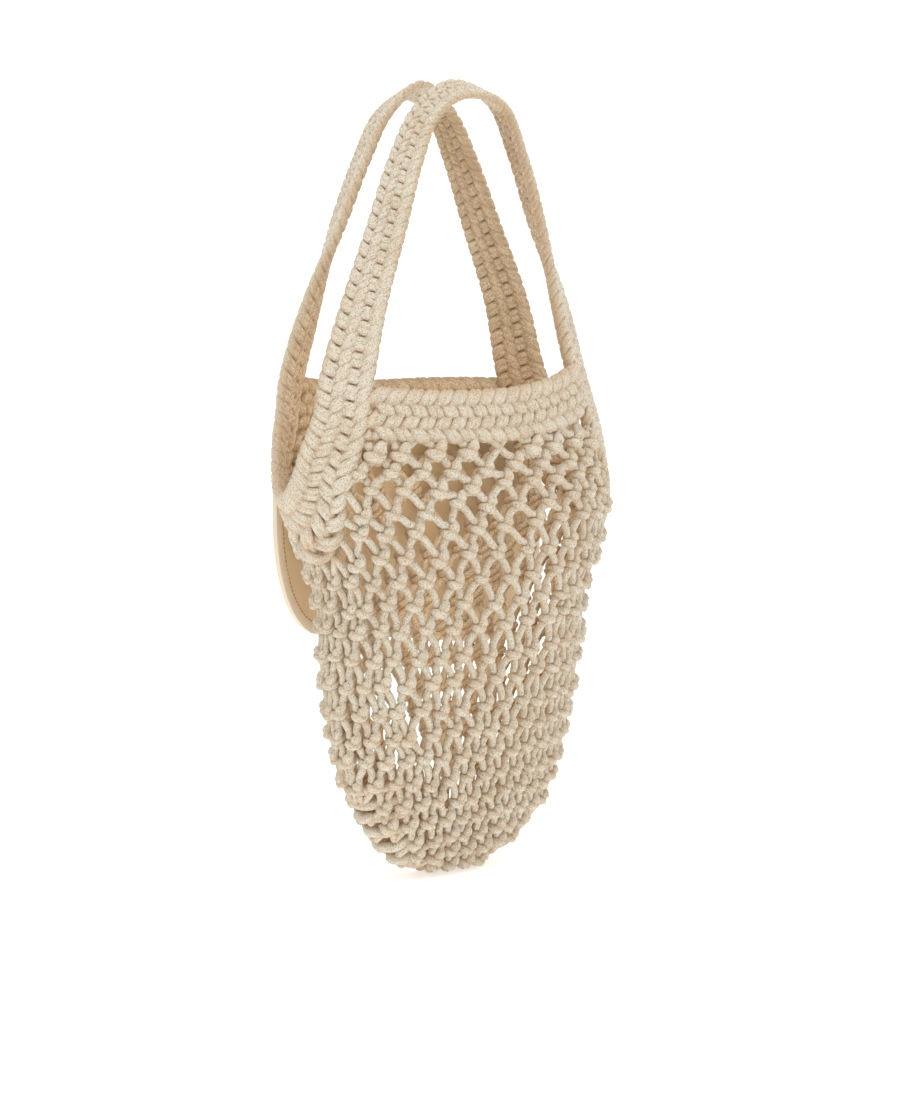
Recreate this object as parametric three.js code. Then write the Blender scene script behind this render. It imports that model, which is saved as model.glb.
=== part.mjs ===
// A knotted cotton market tote bag: a hollow net body, braided rim bands, two braided
// straps that meet in a V at each side, and a leather panel outside the back.
// Millimetres, +Z up, front at -Y. The origin is the hang point under the strap arches.
import * as THREE from "three";

// Driving dimensions
const BAND_THICKNESS = 10;
const BAND_EDGE = { inset: 0.35, thickness: 0.45 };
const STRAP_STEPS_PER_RIB = 3;
const NET_WALL = 6;
const PIECE_GAP = 0.6;
const NET_EDGE_GAP = 2.5;
const NET_COLUMNS = 14;
const NET_ROWS = 8;
const GAP_SHARE = 0.62;
const PANEL_WALL = 3;

// Level sections of the soft body, top to bottom: half sizes and how far the centre sags aside.
const BODY_SECTIONS = [
  { z: -168, halfWidth: 114.5, halfDepth: 53, shiftX: -1, shiftY: 0 },
  { z: -206, halfWidth: 125.5, halfDepth: 55, shiftX: 4, shiftY: 0 },
  { z: -240, halfWidth: 133, halfDepth: 56, shiftX: 7, shiftY: -1 },
  { z: -264, halfWidth: 123, halfDepth: 55, shiftX: 12, shiftY: -2 },
  { z: -290, halfWidth: 111, halfDepth: 53, shiftX: 13, shiftY: -3 },
  { z: -315, halfWidth: 102, halfDepth: 50, shiftX: 11, shiftY: -4 },
  { z: -350, halfWidth: 100, halfDepth: 45, shiftX: 10, shiftY: -4 },
  { z: -404, halfWidth: 91, halfDepth: 36, shiftX: 9, shiftY: -4 },
  { z: -441, halfWidth: 79, halfDepth: 27, shiftX: 10, shiftY: -4 },
  { z: -472, halfWidth: 59, halfDepth: 16, shiftX: 9, shiftY: -4 },
  { z: -486, halfWidth: 35, halfDepth: 9, shiftX: 5, shiftY: -4 },
];

// The free handle, from its apex down one leg: centre line, how far the back handle is drawn in and
// the front handle's right shoulder raised, width, and where its outer face looks (degrees from
// straight ahead towards the side, and degrees upwards).
const HANDLE_STATIONS = [
  { x: 0, y: 22, z: 10, drawnIn: 0, raised: 0, width: 23, facing: 0, lift: 66 },
  { x: 29, y: 24, z: -5, drawnIn: 5, raised: 6, width: 23.5, facing: 74, lift: 22 },
  { x: 46, y: 25, z: -34, drawnIn: 5, raised: 3, width: 25.5, facing: 71, lift: 8 },
  { x: 62, y: 26, z: -75, drawnIn: 2.5, raised: 0, width: 27.5, facing: 65, lift: 0 },
  { x: 81, y: 26, z: -125, drawnIn: 0, raised: 0, width: 29, facing: 41, lift: 0 },
];

// The strap's lower end on the body: the edge at the side opening and the edge at the net,
// each by its angle from the side (degrees) and its height. The last row is the V at the side.
const STRAP_RIBS = [
  { openAngle: 19, openZ: -166, netAngle: 45, netZ: -178 },
  { openAngle: 17.5, openZ: -186, netAngle: 43, netZ: -206 },
  { openAngle: 12, openZ: -206, netAngle: 37, netZ: -238 },
  { openAngle: 8, openZ: -222, netAngle: 29, netZ: -262 },
  { openAngle: 4, openZ: -231, netAngle: 17, netZ: -279 },
  { openAngle: 0, openZ: -234, netAngle: 0, netZ: -285 },
];

// The rim bands, which sag at mid-span, and the leather panel outside the back
const RIM = { topZ: -175, lowZ: -209, endRise: 8, endGapDegrees: 1.2, stations: 14 };
const PANEL = {
  centreX: 13,
  halfWidth: 109,
  topZ: -203,
  bottomZ: -348,
  cornerWidth: 45,
  cornerHeight: 72,
  tilt: 0.14,
  arcHalfWidth: 144,
  arcHalfDepth: 63,
  arcX: 7,
  arcY: -1,
  columns: 28,
};

const COTTON = { color: 0xe1d0b4, roughness: 0.95, metalness: 0 };
const LEATHER = { color: 0xd0a26f, roughness: 0.5, metalness: 0 };

const FRONT = -1;
const BACK = 1;
const radians = THREE.MathUtils.degToRad;

// A value of one column of a table, smooth between its rows, by the key that the rows fall along.
function columnAt(rows, along, column, at) {
  const rising = rows[rows.length - 1][along] > rows[0][along];
  const past = rows.findIndex((row) => (rising ? row[along] > at : row[along] < at));
  const i = past < 0 ? rows.length - 2 : Math.max(past - 1, 0);
  const [a, b] = [rows[i], rows[i + 1]];
  const before = rows[Math.max(i - 1, 0)];
  const after = rows[Math.min(i + 2, rows.length - 1)];
  const span = b[along] - a[along];
  const share = THREE.MathUtils.clamp((at - a[along]) / span, 0, 1);
  const slopeA = ((b[column] - before[column]) / (b[along] - before[along])) * span;
  const slopeB = ((after[column] - a[column]) / (after[along] - a[along])) * span;
  const square = share * share;
  const cube = square * share;
  return (
    a[column] * (2 * cube - 3 * square + 1) +
    slopeA * (cube - 2 * square + share) +
    b[column] * (3 * square - 2 * cube) +
    slopeB * (cube - square)
  );
}

// A point of the body's level section at a height, moved out by an offset.
function bodyPoint(angle, z, offset = 0) {
  const size = (column) => columnAt(BODY_SECTIONS, "z", column, z);
  return new THREE.Vector3(
    (size("halfWidth") + offset) * Math.cos(angle) + size("shiftX"),
    (size("halfDepth") + offset) * Math.sin(angle) + size("shiftY"),
    z,
  );
}

function bodyNormal(angle, z) {
  const size = (column) => columnAt(BODY_SECTIONS, "z", column, z);
  return new THREE.Vector3(
    Math.cos(angle) / size("halfWidth"),
    Math.sin(angle) / size("halfDepth"),
    0,
  ).normalize();
}

// The angle round the body that lies some degrees from the left (-1) or right (1) side.
function angleFromSide(degrees, side, face) {
  const angle = radians(degrees);
  return Math.atan2(face * Math.sin(angle), side * Math.cos(angle));
}

// A closed mesh through rings of points, with a flat cap at each end.
function loftGeometry(rings) {
  const sides = rings[0].length;
  const positions = rings.flat().flatMap((point) => point.toArray());
  const index = [];
  for (let r = 0; r + 1 < rings.length; r++) {
    for (let s = 0; s < sides; s++) {
      const a = r * sides + s;
      const b = r * sides + ((s + 1) % sides);
      index.push(a, b, a + sides, b, b + sides, a + sides);
    }
  }
  const last = (rings.length - 1) * sides;
  for (let s = 1; s + 1 < sides; s++) {
    index.push(0, s + 1, s, last, last + s, last + s + 1);
  }
  return facingOut(positions, index);
}

// A geometry whose faces point outwards, whichever way the index ran.
function facingOut(positions, index) {
  let volume = 0;
  const corner = (i) => new THREE.Vector3().fromArray(positions, 3 * index[i]);
  for (let i = 0; i < index.length; i += 3) {
    volume += corner(i).dot(corner(i + 1).cross(corner(i + 2)));
  }
  if (volume < 0) {
    index.reverse();
  }
  const geometry = new THREE.BufferGeometry();
  geometry.setAttribute("position", new THREE.Float32BufferAttribute(positions, 3));
  geometry.setIndex(index);
  geometry.computeVertexNormals();
  return geometry;
}

// The flat braid's section between two edges: an octagon, thinner at its edges.
function bandRing(edgeA, edgeB, normal) {
  const across = edgeB.clone().sub(edgeA);
  const half = BAND_THICKNESS / 2;
  const inset = (BAND_EDGE.inset * BAND_THICKNESS) / across.length();
  const edge = BAND_EDGE.thickness;
  const corners = [
    { share: 0, out: edge },
    { share: inset, out: 1 },
    { share: 1 - inset, out: 1 },
    { share: 1, out: edge },
    { share: 1, out: -edge },
    { share: 1 - inset, out: -1 },
    { share: inset, out: -1 },
    { share: 0, out: -edge },
  ];
  return corners.map(({ share, out }) =>
    edgeA.clone().addScaledVector(across, share).addScaledVector(normal, out * half),
  );
}

// One rib of a handle station, with its width square to the handle's run.
function handleRib(station, run, side, face) {
  const facing = radians(station.facing);
  const lift = radians(station.lift);
  const normal = new THREE.Vector3(
    side * Math.sin(facing) * Math.cos(lift),
    face * Math.cos(facing) * Math.cos(lift),
    Math.sin(lift),
  );
  normal.addScaledVector(run, -normal.dot(run)).normalize();
  const across = new THREE.Vector3().crossVectors(run, normal);
  across.multiplyScalar((side * face * station.width) / 2);
  const centre = handleCentre(station, side, face);
  return { open: centre.clone().add(across), net: centre.clone().sub(across), normal };
}

function handleCentre(station, side, face) {
  const x = face === BACK ? station.x - station.drawnIn : station.x;
  const z = face === FRONT && side > 0 ? station.z + station.raised : station.z;
  return new THREE.Vector3(side * x, face * station.y, z);
}

// One rib of the strap's lower end, which lies on the body.
function bodyRib(rib, side, face) {
  const openAngle = angleFromSide(rib.openAngle, side, face);
  const netAngle = angleFromSide(rib.netAngle, side, face);
  const open = bodyPoint(openAngle, rib.openZ);
  const net = bodyPoint(netAngle, rib.netZ);
  const midAngle = angleFromSide((rib.openAngle + rib.netAngle) / 2, side, face);
  return { open, net, normal: bodyNormal(midAngle, (rib.openZ + rib.netZ) / 2) };
}

// The ribs of half a strap, from its apex down to the side.
function halfStrapRibs(side, face) {
  const lower = STRAP_RIBS.map((rib) => bodyRib(rib, side, face));
  const centres = HANDLE_STATIONS.map((station) => handleCentre(station, side, face));
  centres.push(lower[0].open.clone().lerp(lower[0].net, 0.5));
  const upper = HANDLE_STATIONS.map((station, i) => {
    const before = i ? centres[i - 1] : handleCentre(HANDLE_STATIONS[1], -side, face);
    const run = centres[i + 1].clone().sub(before).normalize();
    return handleRib(station, run, side, face);
  });
  const end = lower[lower.length - 1];
  end.open.y += (face * PIECE_GAP) / 2;
  end.net.y += (face * PIECE_GAP) / 2;
  return [...upper, ...lower];
}

// A whole strap, lofted through its ribs from the left side over the apex to the right side.
function strapGeometry(face) {
  const [apex, ...left] = halfStrapRibs(-1, face);
  const right = halfStrapRibs(1, face).slice(1);
  const ribs = [...left.reverse(), apex, ...right];
  const curve = (key) => new THREE.CatmullRomCurve3(ribs.map((rib) => rib[key]), false, "centripetal");
  const curves = { open: curve("open"), net: curve("net"), normal: curve("normal") };
  const steps = STRAP_STEPS_PER_RIB * (ribs.length - 1);
  const rings = Array.from({ length: steps + 1 }, (_, i) => {
    const at = (key) => curves[key].getPoint(i / steps);
    return bandRing(at("open"), at("net"), at("normal").normalize());
  });
  return loftGeometry(rings);
}

// Heights of the rim band's two edges at an angle from the side: the ends rise to the straps.
function rimEdge(middleZ, degrees) {
  const end = STRAP_RIBS[0].netAngle;
  const share = (90 - degrees) / (90 - end);
  return middleZ + RIM.endRise * share * share;
}

// A rim band along the mouth, whose slanting ends follow the strap's edges.
function rimGeometry(face) {
  const endAngle = (z) => columnAt(STRAP_RIBS, "netZ", "netAngle", z) + RIM.endGapDegrees;
  const topEnd = endAngle(RIM.topZ + RIM.endRise);
  const lowEnd = endAngle(RIM.lowZ + RIM.endRise);
  const rings = Array.from({ length: RIM.stations + 1 }, (_, i) => {
    const share = (2 * i) / RIM.stations - 1;
    const side = share < 0 ? -1 : 1;
    const edge = (end, middleZ) => {
      const degrees = 90 - Math.abs(share) * (90 - end);
      return { degrees, point: bodyPoint(angleFromSide(degrees, side, face), rimEdge(middleZ, degrees)) };
    };
    const top = edge(topEnd, RIM.topZ);
    const low = edge(lowEnd, RIM.lowZ);
    const angle = angleFromSide((top.degrees + low.degrees) / 2, side, face);
    return bandRing(top.point, low.point, bodyNormal(angle, (top.point.z + low.point.z) / 2));
  });
  return loftGeometry(rings);
}

// The net's upper edge: under the straps near the sides and under the rim bands between them.
function netTop(angle) {
  const degrees = THREE.MathUtils.radToDeg(Math.acos(Math.abs(Math.cos(angle))));
  const fromSide = [...STRAP_RIBS].reverse();
  const rimEnd = STRAP_RIBS[1].netAngle;
  const edge =
    degrees < rimEnd
      ? columnAt(fromSide, "netAngle", "netZ", degrees)
      : rimEdge(RIM.lowZ, degrees);
  return edge - NET_EDGE_GAP;
}

// A point of the net by its column and row, on its outer (1) or inner (-1) face.
function netPoint(column, row, layer) {
  const angle = (2 * Math.PI * column) / NET_COLUMNS;
  const bottom = BODY_SECTIONS[BODY_SECTIONS.length - 1].z;
  const floor = layer < 0 ? bottom + NET_WALL : bottom;
  const z = THREE.MathUtils.lerp(netTop(angle), floor, row / (NET_ROWS + 1));
  return bodyPoint(angle, z, (layer * NET_WALL) / 2);
}

// The hollow net: diamonds in alternate rows, each cut through, with a closed bottom.
function netGeometry() {
  const positions = [];
  const index = [];
  const known = new Map();
  const vertex = (column, row, layer) => {
    const turned = ((column % NET_COLUMNS) + NET_COLUMNS) % NET_COLUMNS;
    const key = [turned.toFixed(3), row.toFixed(3), layer].join();
    if (!known.has(key)) {
      known.set(key, positions.length / 3);
      positions.push(...netPoint(turned, row, layer).toArray());
    }
    return known.get(key);
  };
  const quad = (a, b, c, d) => index.push(a, b, c, a, c, d);
  // A stretch of wall between two edges, on both faces.
  const wallQuad = (corners) => {
    quad(...corners.map(([column, row]) => vertex(column, row, 1)));
    quad(...corners.map(([column, row]) => vertex(column, row, -1)).reverse());
  };
  // The faces through the wall along one edge.
  const throughQuad = ([column, row], [column2, row2]) => {
    quad(
      vertex(column2, row2, 1),
      vertex(column, row, 1),
      vertex(column, row, -1),
      vertex(column2, row2, -1),
    );
  };
  // The diamond's rim, clockwise as seen from outside: its corners and the middles of its sides.
  const diamond = [
    [0, -1],
    [0.25, -0.5],
    [0.5, 0],
    [0.25, 0.5],
    [0, 1],
    [-0.25, 0.5],
    [-0.5, 0],
    [-0.25, -0.5],
  ];
  for (let row = 1; row <= NET_ROWS; row++) {
    for (let i = 0; i < NET_COLUMNS; i++) {
      const column = i + (row % 2 ? 0 : 0.5);
      const place = (share) => diamond.map(([c, r]) => [column + share * c, row + share * r]);
      const outer = place(1);
      const hole = place(GAP_SHARE);
      outer.forEach((corner, k) => {
        const next = (k + 1) % outer.length;
        wallQuad([corner, hole[k], hole[next], outer[next]]);
        throughQuad(hole[k], hole[next]);
      });
    }
  }
  // The whole wedges between the diamonds at the upper edge and at the bottom.
  const edgeSteps = [-0.5, -0.25, 0, 0.25, 0.5];
  const wedge = (column, edgeRow, tipRow) => {
    const middle = (edgeRow + tipRow) / 2;
    const edge = edgeSteps.map((step) => [column + step, edgeRow]);
    const left = [column - 0.25, middle];
    const right = [column + 0.25, middle];
    const triangles = [
      [edge[0], left, edge[1]],
      [edge[1], left, edge[2]],
      [edge[2], left, right],
      [edge[2], right, edge[3]],
      [edge[3], right, edge[4]],
      [left, [column, tipRow], right],
    ];
    for (const layer of [1, -1]) {
      const turned = layer * (tipRow - edgeRow) < 0;
      for (const triangle of triangles) {
        const corners = triangle.map(([c, r]) => vertex(c, r, layer));
        index.push(...(turned ? corners.reverse() : corners));
      }
    }
  };
  const bottomRow = NET_ROWS + 1;
  const firstBottom = NET_ROWS % 2 ? 0.5 : 0;
  const cap = { outer: [], inner: [] };
  for (let i = 0; i < NET_COLUMNS; i++) {
    wedge(i + 0.5, 0, 1);
    wedge(i + firstBottom, bottomRow, NET_ROWS);
    for (const step of edgeSteps.slice(0, -1)) {
      throughQuad([i + step + 0.25, 0], [i + step, 0]);
      cap.outer.push(vertex(i + firstBottom + step, bottomRow, 1));
      cap.inner.push(vertex(i + firstBottom + step, bottomRow, -1));
    }
  }
  // The closed bottom, as strips from one long side to the other.
  const { outer, inner } = cap;
  for (let low = 0, high = outer.length - 1; low + 1 < high; low++, high--) {
    index.push(outer[low], outer[high], outer[low + 1]);
    index.push(inner[low], inner[low + 1], inner[high]);
    if (low + 1 < high - 1) {
      index.push(outer[low + 1], outer[high], outer[high - 1]);
      index.push(inner[low + 1], inner[high - 1], inner[high]);
    }
  }
  return facingOut(positions, index);
}

// The leather panel: columns across its curved width, each down to the rounded lower outline.
function panelGeometry() {
  const straight = PANEL.halfWidth - PANEL.cornerWidth;
  const rings = Array.from({ length: PANEL.columns + 1 }, (_, i) => {
    const x = PANEL.halfWidth * Math.sin((Math.PI / 2) * ((2 * i) / PANEL.columns - 1));
    const inCorner = Math.max(Math.abs(x) - straight, 0);
    const drop = PANEL.cornerHeight * (1 - Math.sqrt(1 - (inCorner / PANEL.cornerWidth) ** 2));
    const lower = PANEL.bottomZ + drop - PANEL.tilt * x;
    const place = (offset, z) => {
      const centred = PANEL.centreX + x - PANEL.arcX;
      const ahead = Math.sqrt(1 - (centred / (PANEL.arcHalfWidth + offset)) ** 2);
      return new THREE.Vector3(
        PANEL.centreX + x,
        (PANEL.arcHalfDepth + offset) * ahead + PANEL.arcY,
        z,
      );
    };
    return [
      place(0, PANEL.topZ),
      place(PANEL_WALL, PANEL.topZ),
      place(PANEL_WALL, lower),
      place(0, lower),
    ];
  });
  return loftGeometry(rings);
}

// The assembly
const bag = new THREE.Group();

function addPiece(name, geometry, finish) {
  const piece = new THREE.Mesh(geometry, new THREE.MeshStandardMaterial(finish));
  piece.name = name;
  bag.add(piece);
}

addPiece("net_body", netGeometry(), COTTON);
addPiece("front_rim_band", rimGeometry(FRONT), COTTON);
addPiece("back_rim_band", rimGeometry(BACK), COTTON);
addPiece("front_strap", strapGeometry(FRONT), COTTON);
addPiece("back_strap", strapGeometry(BACK), COTTON);
addPiece("leather_panel", panelGeometry(), LEATHER);

export default bag;
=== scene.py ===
"""Looks of a market tote bag: knotted cotton net, braided straps and rims, and a leather panel.

Metres in the scene, millimetres in the tables. +Z is up, the front faces -Y, and the origin
is the hang point under the strap arches.
"""
import itertools
import logging
import math
from dataclasses import dataclass, field
from enum import Enum
from typing import ClassVar, NamedTuple

import bpy
import numpy as np
from mathutils.kdtree import KDTree
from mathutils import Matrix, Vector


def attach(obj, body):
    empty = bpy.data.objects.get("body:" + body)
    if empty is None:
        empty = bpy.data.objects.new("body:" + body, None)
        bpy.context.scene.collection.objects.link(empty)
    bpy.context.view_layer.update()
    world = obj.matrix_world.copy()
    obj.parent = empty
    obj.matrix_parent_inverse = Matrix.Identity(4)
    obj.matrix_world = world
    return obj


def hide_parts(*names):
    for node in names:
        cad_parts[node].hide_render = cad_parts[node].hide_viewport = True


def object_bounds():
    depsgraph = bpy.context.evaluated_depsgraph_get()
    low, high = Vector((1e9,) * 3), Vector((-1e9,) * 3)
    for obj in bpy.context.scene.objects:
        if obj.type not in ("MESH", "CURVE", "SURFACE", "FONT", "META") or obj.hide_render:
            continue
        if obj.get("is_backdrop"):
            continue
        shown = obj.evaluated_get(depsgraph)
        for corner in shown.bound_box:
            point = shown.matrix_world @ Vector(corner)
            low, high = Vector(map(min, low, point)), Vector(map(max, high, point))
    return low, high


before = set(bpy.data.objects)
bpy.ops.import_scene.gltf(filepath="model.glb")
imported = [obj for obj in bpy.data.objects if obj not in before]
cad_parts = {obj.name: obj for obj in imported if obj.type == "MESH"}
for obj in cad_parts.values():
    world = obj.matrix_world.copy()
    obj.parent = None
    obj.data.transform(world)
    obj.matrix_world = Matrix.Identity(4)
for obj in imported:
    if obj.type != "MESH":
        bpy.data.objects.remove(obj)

LOG = logging.getLogger("market_tote_bag")
BODY = "root"
MM = 0.001
TURN = 2.0 * math.pi
LEAST_LENGTH = 1e-12
LEAST_GAP = 1e-9

Colour = tuple[float, float, float]
Span = tuple[float, float]
Socket = bpy.types.NodeSocket
Feed = Socket | float | tuple[float, ...]
BLACK: Colour = (0.0, 0.0, 0.0)
WHITE: Colour = (1.0, 1.0, 1.0)
WHOLE: Span = (0.0, 1.0)


class Face(Enum):
    """The two faces of the bag, by the sign of Y."""

    FRONT = -1
    BACK = 1


class Side(Enum):
    """The two sides of the bag, by the sign of X."""

    LEFT = -1
    RIGHT = 1


class Lean(Enum):
    """How a net cord runs on its way down, by the columns that it moves in each row."""

    FALLING = 0.5
    RISING = -0.5


class Ends(Enum):
    """How a tube is closed."""

    FLAT = "flat"
    ROUND = "round"


class Section(NamedTuple):
    """A level section of the soft body, in millimetres."""

    z: float
    half_width: float
    half_depth: float
    shift_x: float
    shift_y: float


class Station(NamedTuple):
    """A rib of the free handle, in millimetres, with its facing and lift in degrees.

    The back handle is drawn in towards its middle, and the front one's right shoulder raised.
    """

    x: float
    y: float
    z: float
    drawn_in: float
    raised: float
    width: float
    facing: float
    lift: float


class StrapRib(NamedTuple):
    """A rib of the strap on the body: each edge's angle from the side and its height."""

    open_angle: float
    open_z: float
    net_angle: float
    net_z: float


class Band(NamedTuple):
    """A band's two edges and its outward normals, one row for each step along it."""

    edge_a: np.ndarray
    edge_b: np.ndarray
    normal: np.ndarray


class Knot(NamedTuple):
    """A knot of the net: its point, the form's directions there, and its size as a share."""

    point: np.ndarray
    level: np.ndarray
    rise: np.ndarray
    out: np.ndarray
    size: float


class Lamp(NamedTuple):
    """A soft round lamp aimed at the bag: its direction in degrees, metres and watts."""

    azimuth: float
    elevation: float
    distance: float
    size: float
    power: float
    colour: Colour = WHITE


class Glow(NamedTuple):
    """A small warm light inside the bag, in metres and watts."""

    x: float
    y: float
    z: float
    power: float


def unit(vectors: np.ndarray) -> np.ndarray:
    """Scales vectors to length one."""
    return vectors / np.maximum(np.linalg.norm(vectors, axis=-1, keepdims=True), LEAST_LENGTH)


def square_to(vectors: np.ndarray, axis: np.ndarray) -> np.ndarray:
    """Takes the part along unit axes out of vectors, and scales what is left to length one."""
    return unit(vectors - np.sum(vectors * axis, axis=-1, keepdims=True) * axis)


def between(start: np.ndarray, end: np.ndarray, slopes: tuple[np.ndarray, np.ndarray],
            share: np.ndarray) -> np.ndarray:
    """Reads a smooth curve between two points.

    Args:
        start: The first point.
        end: The second point.
        slopes: The curve's slopes at both.
        share: How far along the curve, 0 to 1.

    Returns:
        The curve's point there.
    """
    square, cube = share**2, share**3
    first = start * (2 * cube - 3 * square + 1) + slopes[0] * (cube - 2 * square + share)
    return first + end * (3 * square - 2 * cube) + slopes[1] * (cube - square)


def table_at(table: np.ndarray, at: np.ndarray) -> np.ndarray:
    """Reads a table between its rows, on a smooth curve through them.

    Args:
        table: Rows whose first column is the key, which rises or falls.
        at: Keys to read the table at.

    Returns:
        The other columns at those keys.
    """
    keys, rows = table[:, 0], table[:, 1:]
    at = np.asarray(at, float)
    sign = 1.0 if keys[-1] > keys[0] else -1.0
    i = np.clip(np.searchsorted(sign * keys, sign * at, side="right") - 1, 0, len(keys) - 2)
    before, after = np.maximum(i - 1, 0), np.minimum(i + 2, len(keys) - 1)
    span = keys[i + 1] - keys[i]
    share = np.clip((at - keys[i]) / span, 0.0, 1.0)[..., None]
    slope_a = (rows[i + 1] - rows[before]) * (span / (keys[i + 1] - keys[before]))[..., None]
    slope_b = (rows[after] - rows[i]) * (span / (keys[after] - keys[i]))[..., None]
    return between(rows[i], rows[i + 1], (slope_a, slope_b), share)


def spline(points: np.ndarray, at: np.ndarray, closed: bool = False) -> np.ndarray:
    """Reads a smooth curve through points, with its knots spaced by the root of their distance.

    Args:
        points: The points, in order, as rows.
        at: Places along the curve, counted in points.
        closed: Whether the last point leads back to the first.

    Returns:
        A row for each place.
    """
    n = len(points)
    at = np.asarray(at, float)
    if closed:
        i = np.floor(at).astype(int)
        p0, p1, p2, p3 = (points[(i + k) % n] for k in (-1, 0, 1, 2))
    else:
        i = np.clip(np.floor(at).astype(int), 0, n - 2)
        padded = np.vstack([2 * points[0] - points[1], points, 2 * points[-1] - points[-2]])
        p0, p1, p2, p3 = (padded[i + k] for k in range(4))
    share = (at - i)[:, None]
    gaps = [np.maximum(np.linalg.norm(b - a, axis=1, keepdims=True), LEAST_GAP) ** 0.5
            for a, b in ((p0, p1), (p1, p2), (p2, p3))]
    slope_a = ((p1 - p0) / gaps[0] - (p2 - p0) / (gaps[0] + gaps[1]) + (p2 - p1) / gaps[1]) * gaps[1]
    slope_b = ((p2 - p1) / gaps[1] - (p3 - p1) / (gaps[1] + gaps[2]) + (p3 - p2) / gaps[2]) * gaps[1]
    return between(p1, p2, (slope_a, slope_b), share)


def read_rows(rows: np.ndarray, at: np.ndarray) -> np.ndarray:
    """Reads rows between their steps, straight from one to the next."""
    steps = np.arange(len(rows))
    return np.stack([np.interp(at, steps, column) for column in rows.T], -1)


def runs_of(points: np.ndarray) -> np.ndarray:
    """Gives the unit direction of a line at each of its points."""
    return unit(np.gradient(points, axis=0))


def carried_frames(points: np.ndarray, first: np.ndarray) -> tuple[np.ndarray, np.ndarray]:
    """Carries a direction along a line with as little turning as possible.

    Args:
        points: The line's points.
        first: A direction across the line at its start.

    Returns:
        Two directions across the line at each point, square to each other.
    """
    run = runs_of(points)
    out = np.empty_like(points)
    out[0] = square_to(first, run[0])
    for i in range(1, len(points)):
        out[i] = square_to(out[i - 1], run[i])
    return np.cross(run, out), out


class Surface:
    """A new material, built node by node."""

    def __init__(self, name: str, shading: dict[str, Feed]) -> None:
        """Makes the material.

        Args:
            name: The material's name.
            shading: Its shader's numbers and colours that are the same all over.
        """
        self.material = bpy.data.materials.new(name)
        self.material.use_nodes = True
        self.shader = self.material.node_tree.nodes["Principled BSDF"]
        self.feed(self.shader, shading)
        self.place = self.node("TexCoord", {}).outputs

    def feed(self, node: bpy.types.Node, inputs: dict[str | int, Feed]) -> bpy.types.Node:
        """Sets inputs of a node, each to a plain value or to what another node gives.

        Args:
            node: The node.
            inputs: A value or another node's output for each input, by name or number.

        Returns:
            The same node.
        """
        for socket, value in inputs.items():
            if isinstance(value, Socket):
                self.material.node_tree.links.new(value, node.inputs[socket])
            else:
                node.inputs[socket].default_value = value
        return node

    def node(self, kind: str, inputs: dict[str | int, Feed], **settings: str) -> bpy.types.Node:
        """Adds a node.

        Args:
            kind: Its kind, as Blender names it.
            inputs: What its inputs are set to, by name or number.
            **settings: Its own settings, made before its inputs are set.

        Returns:
            The new node.
        """
        node = self.material.node_tree.nodes.new(f"ShaderNode{kind}")
        for setting, value in settings.items():
            setattr(node, setting, value)
        return self.feed(node, inputs)

    def noise(self, scale: float, detail: float = 2.0, at: Socket | None = None) -> Socket:
        """Adds a noise, on the piece's own coordinates unless others are given."""
        at = self.place["Object"] if at is None else at
        return self.node("TexNoise", {"Scale": scale, "Detail": detail, "Vector": at}).outputs["Fac"]

    def attribute(self, name: str) -> Socket:
        """Reads a number that the mesh holds at each of its points."""
        return self.node("Attribute", {}, attribute_name=name).outputs["Fac"]

    def work_out(self, operation: str, *values: Feed) -> Socket:
        """Works out a number from others."""
        return self.node("Math", dict(enumerate(values)), operation=operation).outputs["Value"]

    def spread(self, value: Socket, start: Span = WHOLE, to: Span = WHOLE) -> Socket:
        """Carries a number from one span to another."""
        spans = {"From Min": start[0], "From Max": start[1], "To Min": to[0], "To Max": to[1]}
        return self.node("MapRange", {"Value": value, **spans}).outputs["Result"]

    def ramp(self, share: Socket, stops: Span, low: Colour, high: Colour) -> Socket:
        """Runs from a low colour to a high one between two stops.

        Args:
            share: What the colour follows, 0 to 1.
            stops: Where the run starts and ends.
            low: The colour up to the first stop.
            high: The colour from the second stop on.

        Returns:
            The colour.
        """
        node = self.node("ValToRGB", {"Fac": share})
        for element, stop, colour in zip(node.color_ramp.elements, stops, (low, high)):
            element.position = stop
            element.color = (*colour, 1.0)
        return node.outputs["Color"]

    def mix(self, share: Socket, first: Feed, second: Feed) -> Socket:
        """Mixes two colours."""
        inputs = {"Factor": share, "A": first, "B": second}
        return self.node("Mix", inputs, data_type="RGBA").outputs["Result"]

    def finish(self, colour: Socket, height: Socket | None = None, strength: float = 0.0,
               depth: float = 0.0) -> bpy.types.Material:
        """Gives the shader its colour and, where there is one, a raised grain.

        Args:
            colour: The surface's colour.
            height: The grain's height.
            strength: How strongly the grain shows.
            depth: How deep the grain is, in metres.

        Returns:
            The finished material.
        """
        self.feed(self.shader, {"Base Color": colour})
        if height is not None:
            bump = self.node("Bump", {"Strength": strength, "Distance": depth, "Height": height})
            self.feed(self.shader, {"Normal": bump.outputs["Normal"]})
        return self.material


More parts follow.
